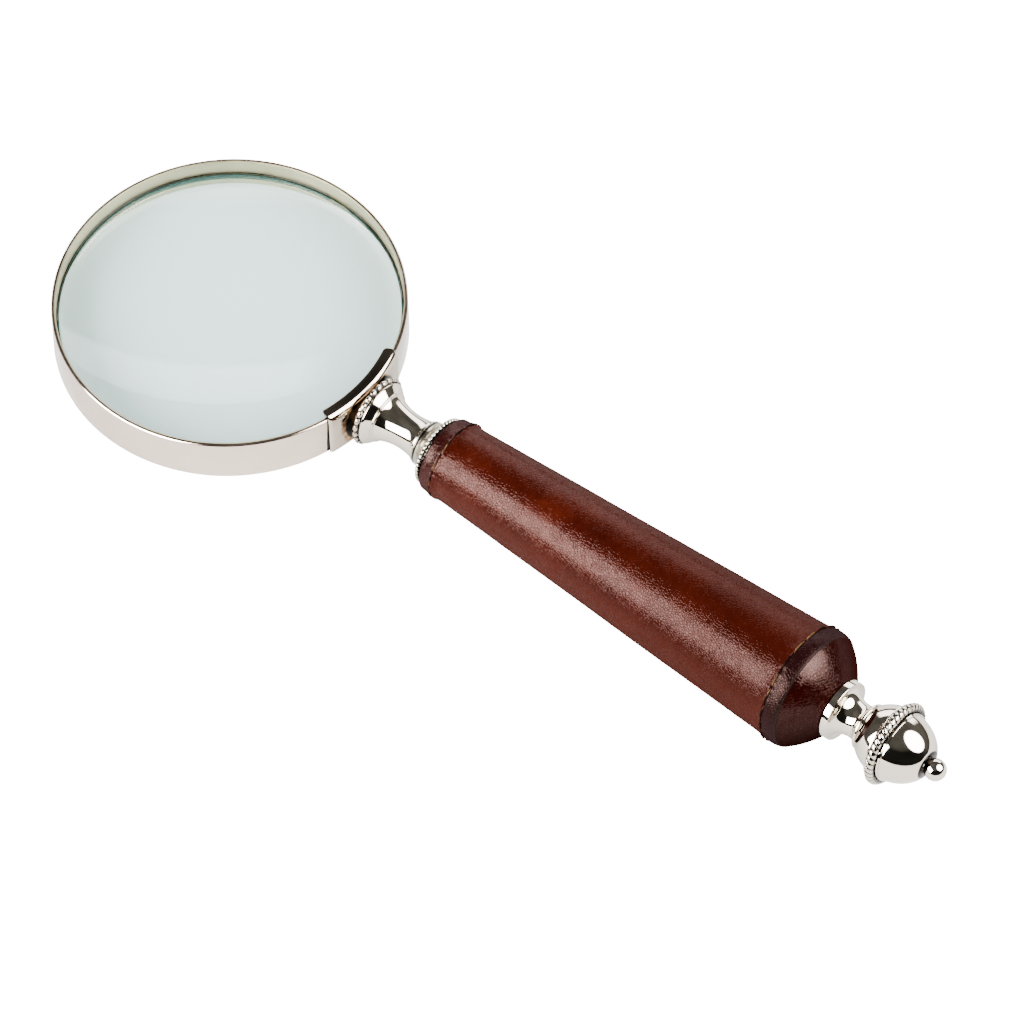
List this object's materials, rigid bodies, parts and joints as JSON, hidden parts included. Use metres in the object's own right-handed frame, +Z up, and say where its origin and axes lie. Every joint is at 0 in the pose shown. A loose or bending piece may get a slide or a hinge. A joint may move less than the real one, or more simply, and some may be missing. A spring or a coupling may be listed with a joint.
{
  "type": "magnifying glass",
  "caption": "Hand-held reading magnifier: round lens in a nickel-plated hoop, stitched leather handle, beaded metal ferrule and screw-on ball finial.",
  "frame": {"origin": "middle of the underside of the object's bounding box, on the surface it lies on", "axes": "+X along the handle from the lens towards the finial, +Z up; the object lies at rest on the hoop's far lower edge and the rear leather band, so the handle's axis rises 2.4 degrees towards the finial"},
  "size_m": [0.2826, 0.093, 0.0338],
  "materials": {
    "lens_glass": "clear polished glass with a faint green edge",
    "rim_nickel": "bright nickel plate on strip brass",
    "polished_nickel": "mirror-polished nickel plate, dark in the recesses",
    "brazed_brass": "brown-stained brass by the brazed joint",
    "plain_steel": "plain turned steel",
    "grip_leather": "glossy red-brown hide with a fine pebble grain",
    "burnished_leather": "dark burnished hide with a raw cut edge",
    "waxed_thread": "waxed linen hand stitching",
    "grip_wood": "plain turned hardwood, covered"
  },
  "bodies": {
    "magnifier": {"lens": "lens_glass", "rim_band": "rim_nickel", "lens_retainer_upper": "rim_nickel", "lens_retainer_lower": "rim_nickel", "saddle_clip": "polished_nickel", "mounting_stud": "brazed_brass", "bell_ferrule": "polished_nickel", "bell_bead_ring": "polished_nickel", "beaded_collar": "polished_nickel", "collar_bead_ring": "polished_nickel", "tie_rod": "plain_steel", "grip_core": "grip_wood", "leather_sleeve": "grip_leather", "front_leather_band": "grip_leather", "rear_leather_band": "burnished_leather", "butt_leather_cap": "grip_leather", "front_seam_thread": "waxed_thread", "rear_seam_thread": "waxed_thread"},
    "washer": {"butt_washer": "plain_steel"},
    "finial": {"finial_spool": "polished_nickel", "finial_neck_ring": "polished_nickel", "finial_lower_shell": "polished_nickel", "finial_bead_band": "polished_nickel", "finial_upper_shell": "polished_nickel", "finial_post": "brazed_brass", "finial_tip": "polished_nickel"}
  },
  "joints": [
    {"name": "finial_travel", "type": "slide", "parent": "magnifier", "child": "washer", "axis": [0.9991, 0, 0.0425], "range_m": [0, 0.008]},
    {"name": "finial_turn", "type": "hinge", "parent": "washer", "child": "finial", "pos_m": [0.10726, 0, 0.01733], "axis": [0.9991, 0, 0.0425], "range_deg": [0, 3600]}
  ],
  "couplings": [
    {"joint": "finial_travel", "follows": "finial_turn", "m_per_rad": 0.00012732}
  ]
}
